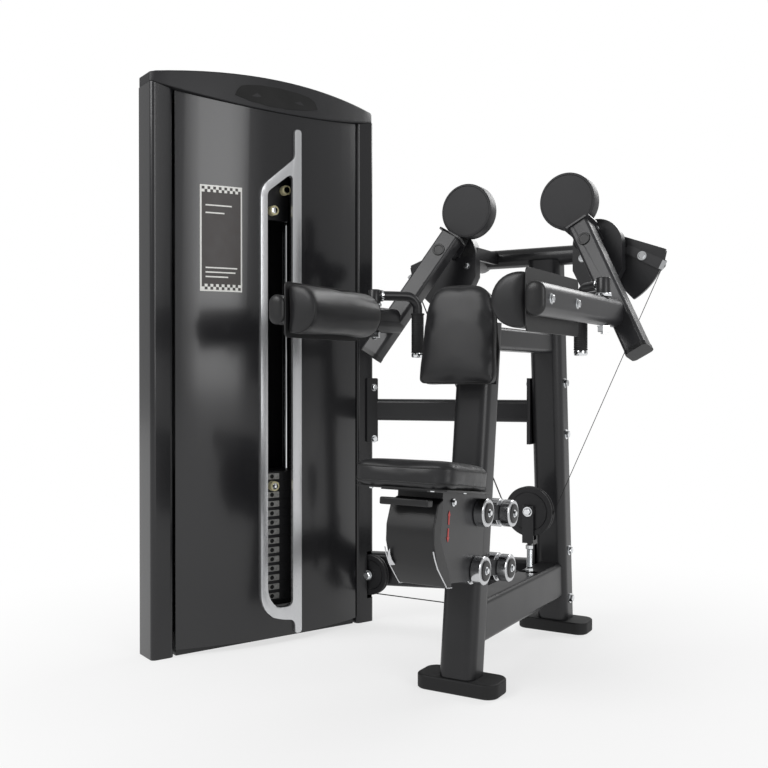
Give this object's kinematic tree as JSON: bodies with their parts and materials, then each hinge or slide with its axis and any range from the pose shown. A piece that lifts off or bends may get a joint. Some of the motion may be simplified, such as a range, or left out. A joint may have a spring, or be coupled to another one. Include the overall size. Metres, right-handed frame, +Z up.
{
  "type": "lateral raise machine",
  "caption": "Selectorised lateral raise machine: weight tower with windowed shroud beside a leaning seat frame with chest pad, padded lifting arms, swivel handles and cable pulleys.",
  "frame": {"origin": "on the floor, under the front post, on the sole of the front foot", "axes": "+Z up, +Y the way the seated user faces, +X the user's right hand"},
  "size_m": [1.2494, 0.9917, 1.545],
  "materials": {
    "frame_black": "satin black powder coat",
    "rubber_black": "moulded black rubber",
    "pad_leather": "black vinyl upholstery",
    "tower_grey": "glossy dark grey paint",
    "silver_bezel": "satin silver",
    "cap_charcoal": "matte charcoal",
    "chrome": "bright chrome",
    "cast_weight": "black painted iron",
    "black_plastic": "moulded black plastic",
    "cable_black": "black coated steel cable"
  },
  "bodies": {
    "root": {"front_post": "frame_black", "rear_post": "frame_black", "front_foot": "rubber_black", "rear_foot": "rubber_black", "base_beam": "frame_black", "upper_beam": "frame_black", "crossbeam": "frame_black", "right_pivot_cover": "frame_black", "left_pivot_cover": "frame_black", "chest_pad": "pad_leather", "chest_pad_bracket": "frame_black", "front_shroud": "tower_grey", "slot_bezel": "silver_bezel", "tower_post_left": "tower_grey", "tower_post_right": "tower_grey", "rear_shroud": "tower_grey", "top_cap": "cap_charcoal", "tower_base": "frame_black", "guide_rod_left": "chrome", "guide_rod_right": "chrome", "tower_top_beam": "frame_black", "weight_stack": "cast_weight", "add_on_weight_plate": "frame_black", "mid_beam": "frame_black", "low_beam": "frame_black", "main_cable": "cable_black", "stack_cable": "cable_black", "yoke_cable": "cable_black", "arm_cable": "cable_black"},
    "left_arm": {"left_arm": "frame_black", "left_counterweight": "cast_weight", "left_cam": "frame_black", "left_arm_pad": "pad_leather"},
    "left_handle": {"left_handle": "frame_black", "left_grip": "rubber_black"},
    "right_arm": {"right_arm": "frame_black", "right_counterweight": "cast_weight", "right_cam": "frame_black", "right_arm_pad": "pad_leather"},
    "right_handle": {"right_handle": "frame_black", "right_grip": "rubber_black"},
    "floating_yoke": {"floating_pulley_yoke": "frame_black"},
    "floating_wheel": {"floating_pulley": "black_plastic"},
    "lifted_stack": {"head_plate": "cast_weight", "weight_plate_second": "cast_weight"},
    "selector_pin": {"selector_pin": "chrome"},
    "seat_carriage": {"seat_carriage": "frame_black", "carriage_shroud": "black_plastic", "seat_pad": "pad_leather"},
    "seat_lever": {"seat_lever": "black_plastic"},
    "front_upper_roller": {"front_upper_roller": "chrome"},
    "front_lower_roller": {"front_lower_roller": "chrome"},
    "rear_upper_roller": {"rear_upper_roller": "chrome"},
    "rear_lower_roller": {"rear_lower_roller": "chrome"},
    "rear_low_pulley": {"rear_low_pulley": "black_plastic"},
    "tower_low_pulley": {"tower_low_pulley": "black_plastic"},
    "top_pulley_inner": {"top_pulley_inner": "black_plastic"},
    "top_pulley_outer": {"top_pulley_outer": "black_plastic"},
    "add_on_pin_upper": {"add_on_pin_upper": "chrome"},
    "add_on_pin_lower": {"add_on_pin_lower": "chrome"}
  },
  "joints": [
    {"name": "left_arm_lift", "type": "hinge", "parent": "root", "child": "left_arm", "pos_m": [-0.204, 0.4, 1.074], "axis": [0, 1, 0], "range_deg": [0, 65]},
    {"name": "right_arm_lift", "type": "hinge", "parent": "root", "child": "right_arm", "pos_m": [0.204, 0.4, 1.074], "axis": [0, -1, 0], "range_deg": [0, 65]},
    {"name": "left_handle_swivel", "type": "hinge", "parent": "left_arm", "child": "left_handle", "pos_m": [-0.304, 0.116, 0.95], "axis": [0, 0, -1], "range_deg": [-10, 60]},
    {"name": "right_handle_swivel", "type": "hinge", "parent": "right_arm", "child": "right_handle", "pos_m": [0.304, 0.116, 0.95], "axis": [0, 0, 1], "range_deg": [-10, 60]},
    {"name": "floating_pulley_rise", "type": "slide", "parent": "root", "child": "floating_yoke", "axis": [0, 0, 1], "range_m": [0, 0.195], "deforming": ["yoke_cable", "arm_cable"]},
    {"name": "floating_pulley_spin", "type": "hinge", "parent": "floating_yoke", "child": "floating_wheel", "pos_m": [0, 0.433, 0.366], "axis": [0, 1, 0], "continuous": true},
    {"name": "stack_rise", "type": "slide", "parent": "root", "child": "lifted_stack", "axis": [0, 0, 1], "range_m": [0, 0.195], "deforming": ["stack_cable"]},
    {"name": "selector_pin_pull", "type": "slide", "parent": "lifted_stack", "child": "selector_pin", "axis": [0.9157, -0.402, 0], "range_m": [0, 0.05]},
    {"name": "seat_height", "type": "slide", "parent": "root", "child": "seat_carriage", "axis": [0, 0.1288, 0.9917], "range_m": [0, 0.13]},
    {"name": "seat_lever_lift", "type": "hinge", "parent": "seat_carriage", "child": "seat_lever", "pos_m": [0, -0.23091, 0.47369], "axis": [-1, 0, 0], "range_deg": [0, 15]},
    {"name": "front_upper_roller_spin", "type": "hinge", "parent": "seat_carriage", "child": "front_upper_roller", "pos_m": [0, -0.0201, 0.4221], "axis": [1, 0, 0], "range_deg": [-225, 5]},
    {"name": "front_lower_roller_spin", "type": "hinge", "parent": "seat_carriage", "child": "front_lower_roller", "pos_m": [0, -0.03685, 0.29319], "axis": [1, 0, 0], "range_deg": [-225, 5]},
    {"name": "rear_upper_roller_spin", "type": "hinge", "parent": "seat_carriage", "child": "rear_upper_roller", "pos_m": [0, 0.12726, 0.40297], "axis": [1, 0, 0], "range_deg": [-5, 225]},
    {"name": "rear_lower_roller_spin", "type": "hinge", "parent": "seat_carriage", "child": "rear_lower_roller", "pos_m": [0, 0.11052, 0.27405], "axis": [1, 0, 0], "range_deg": [-5, 225]},
    {"name": "rear_low_pulley_spin", "type": "hinge", "parent": "root", "child": "rear_low_pulley", "pos_m": [-0.0565, 0.433, 0.1405], "axis": [0, 1, 0], "range_deg": [-201, 5]},
    {"name": "tower_low_pulley_spin", "type": "hinge", "parent": "root", "child": "tower_low_pulley", "pos_m": [-0.50719, 0.433, 0.1405], "axis": [0, 1, 0], "range_deg": [-201, 5]},
    {"name": "top_pulley_inner_spin", "type": "hinge", "parent": "root", "child": "top_pulley_inner", "pos_m": [-0.67483, 0.17982, 1.397], "axis": [-0.9157, 0.402, 0], "range_deg": [-5, 325]},
    {"name": "top_pulley_outer_spin", "type": "hinge", "parent": "root", "child": "top_pulley_outer", "pos_m": [-0.57756, 0.40141, 1.397], "axis": [-0.9157, 0.402, 0], "range_deg": [-5, 325]},
    {"name": "add_on_pin_upper_pull", "type": "slide", "parent": "root", "child": "add_on_pin_upper", "axis": [0.9157, -0.402, 0], "range_m": [0, 0.012]},
    {"name": "add_on_pin_lower_pull", "type": "slide", "parent": "root", "child": "add_on_pin_lower", "axis": [0.9157, -0.402, 0], "range_m": [0, 0.012]}
  ],
  "couplings": [
    {"joint": "right_arm_lift", "follows": "left_arm_lift", "ratio": 1},
    {"joint": "floating_pulley_rise", "follows": "left_arm_lift", "m_per_rad": 0.17},
    {"joint": "stack_rise", "follows": "left_arm_lift", "m_per_rad": 0.17},
    {"joint": "rear_low_pulley_spin", "follows": "left_arm_lift", "ratio": -3.009},
    {"joint": "tower_low_pulley_spin", "follows": "left_arm_lift", "ratio": -3.009},
    {"joint": "top_pulley_inner_spin", "follows": "left_arm_lift", "ratio": 4.928},
    {"joint": "top_pulley_outer_spin", "follows": "left_arm_lift", "ratio": 4.928},
    {"joint": "front_upper_roller_spin", "follows": "seat_height", "rad_per_m": -29.412},
    {"joint": "front_lower_roller_spin", "follows": "seat_height", "rad_per_m": -29.412},
    {"joint": "rear_upper_roller_spin", "follows": "seat_height", "rad_per_m": 29.412},
    {"joint": "rear_lower_roller_spin", "follows": "seat_height", "rad_per_m": 29.412}
  ]
}
